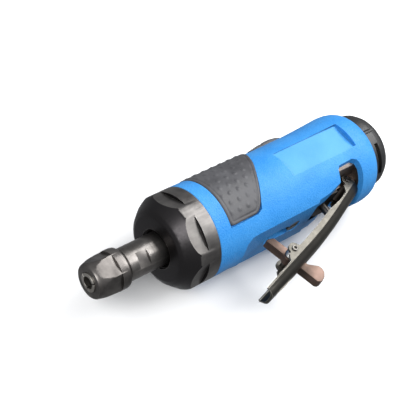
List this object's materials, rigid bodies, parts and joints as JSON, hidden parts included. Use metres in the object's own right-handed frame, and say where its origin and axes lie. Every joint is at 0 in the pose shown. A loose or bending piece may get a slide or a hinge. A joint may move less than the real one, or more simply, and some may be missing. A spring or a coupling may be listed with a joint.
{
  "type": "die grinder",
  "caption": "Air-powered straight die grinder: collet on a rotating spindle, composite grip with rubber pads, throttle lever with folding safety latch and swivelling rear exhaust.",
  "frame": {"origin": "on the spindle axis at the mouth of the collet", "axes": "+X runs back along the spindle axis to the air inlet, -Y is the throttle lever side, +Z is the left side of a hand that points the collet forward; XY is the mirror plane"},
  "size_m": [0.1768, 0.0757, 0.0476],
  "materials": {
    "spindle_steel": "ground, lightly oiled",
    "motor_steel": "ground",
    "vane_fibre": "fibre laminate",
    "bearing_steel": "polished",
    "brass": "machined",
    "black_oxide_steel": "black oxide",
    "motor_iron": "honed",
    "case_metal": "cast, clear oxide",
    "seal_rubber": "moulded",
    "blue_composite": "fine moulded texture",
    "pad_rubber": "moulded pebble texture",
    "lever_steel": "pressed and tumbled",
    "pin_steel": "ground",
    "latch_steel": "sintered",
    "spring_steel": "drawn wire",
    "inlet_steel": "nickel plated",
    "deflector_plastic": "moulded",
    "muffler_felt": "pressed felt"
  },
  "bodies": {
    "housing": {"front_bearing_outer": "bearing_steel", "front_bearing_shield": "black_oxide_steel", "front_end_plate": "motor_iron", "motor_cylinder": "motor_iron", "cylinder_dowel": "bearing_steel", "rear_end_plate": "motor_iron", "rear_bearing_outer": "bearing_steel", "motor_housing": "case_metal", "clamp_nut": "black_oxide_steel", "front_dust_seal": "seal_rubber", "clamp_nut_seal": "seal_rubber", "composite_shell": "blue_composite", "left_grip_pad": "pad_rubber", "right_grip_pad": "pad_rubber", "palm_pad": "pad_rubber", "lever_pin": "pin_steel", "stem_seal": "seal_rubber", "valve_bushing": "brass", "valve_seat": "brass", "valve_spring": "spring_steel", "throttle_boot": "seal_rubber", "regulator_seal": "seal_rubber", "inlet_bushing": "inlet_steel", "inlet_seal": "seal_rubber", "inlet_screen": "brass", "deflector_seal": "seal_rubber", "muffler_ring": "muffler_felt", "deflector_snap_ring": "black_oxide_steel"},
    "rotor": {"rotor": "motor_steel", "rotor_vanes": "vane_fibre", "rotor_spacer": "motor_steel", "collet_body": "spindle_steel", "front_bearing_inner": "bearing_steel", "rear_bearing_inner": "bearing_steel", "rotor_snap_ring": "black_oxide_steel"},
    "front_cage": {"front_bearing_balls": "bearing_steel", "front_bearing_cage": "brass"},
    "rear_cage": {"rear_bearing_balls": "bearing_steel", "rear_bearing_cage": "brass"},
    "collet": {"collet": "spindle_steel"},
    "collet_nut": {"collet_nut": "spindle_steel"},
    "throttle_lever": {"throttle_lever": "lever_steel", "latch_pin": "pin_steel", "latch_spring": "spring_steel"},
    "safety_latch": {"safety_latch": "latch_steel"},
    "throttle_valve": {"valve_stem": "pin_steel"},
    "exhaust_deflector": {"exhaust_deflector": "deflector_plastic"},
    "regulator": {"regulator_screw": "pin_steel"}
  },
  "joints": [
    {"name": "rotor_spin", "type": "hinge", "parent": "housing", "child": "rotor", "pos_m": [0.08, 0, 0], "axis": [-1, 0, 0], "continuous": true},
    {"name": "front_cage_spin", "type": "hinge", "parent": "housing", "child": "front_cage", "pos_m": [0.0558, 0, 0], "axis": [-1, 0, 0], "continuous": true},
    {"name": "rear_cage_spin", "type": "hinge", "parent": "housing", "child": "rear_cage", "pos_m": [0.0999, 0, 0], "axis": [-1, 0, 0], "continuous": true},
    {"name": "collet_slide", "type": "slide", "parent": "rotor", "child": "collet", "axis": [-1, 0, 0], "range_m": [0, 0.002]},
    {"name": "collet_nut_turn", "type": "hinge", "parent": "collet", "child": "collet_nut", "pos_m": [0.01, 0, 0], "axis": [-1, 0, 0], "range_deg": [0, 720]},
    {"name": "lever_press", "type": "hinge", "parent": "housing", "child": "throttle_lever", "pos_m": [0.1463, -0.0147, 0], "axis": [0, 0, -1], "range_deg": [0, 6], "stiffness_Nm_per_rad": 2, "springref_deg": -14.32},
    {"name": "latch_fold", "type": "hinge", "parent": "throttle_lever", "child": "safety_latch", "pos_m": [0.0936, -0.0329, 0], "axis": [0, 0, -1], "range_deg": [0, 92]},
    {"name": "valve_travel", "type": "slide", "parent": "housing", "child": "throttle_valve", "axis": [0, 1, 0], "range_m": [0, 0.0018], "deforming": ["valve_spring"]},
    {"name": "deflector_turn", "type": "hinge", "parent": "housing", "child": "exhaust_deflector", "pos_m": [0.17, 0, 0], "axis": [1, 0, 0], "continuous": true},
    {"name": "regulator_turn", "type": "hinge", "parent": "housing", "child": "regulator", "pos_m": [0.108, -0.018, 0], "axis": [0, -1, 0], "range_deg": [0, 270]}
  ],
  "couplings": [
    {"joint": "front_cage_spin", "follows": "rotor_spin", "ratio": 0.36778},
    {"joint": "rear_cage_spin", "follows": "rotor_spin", "ratio": 0.368},
    {"joint": "collet_nut_turn", "follows": "collet_slide", "rad_per_m": 6283.1},
    {"joint": "latch_fold", "follows": "lever_press", "ratio": 15},
    {"joint": "valve_travel", "follows": "lever_press", "m_per_rad": 0.0163}
  ]
}
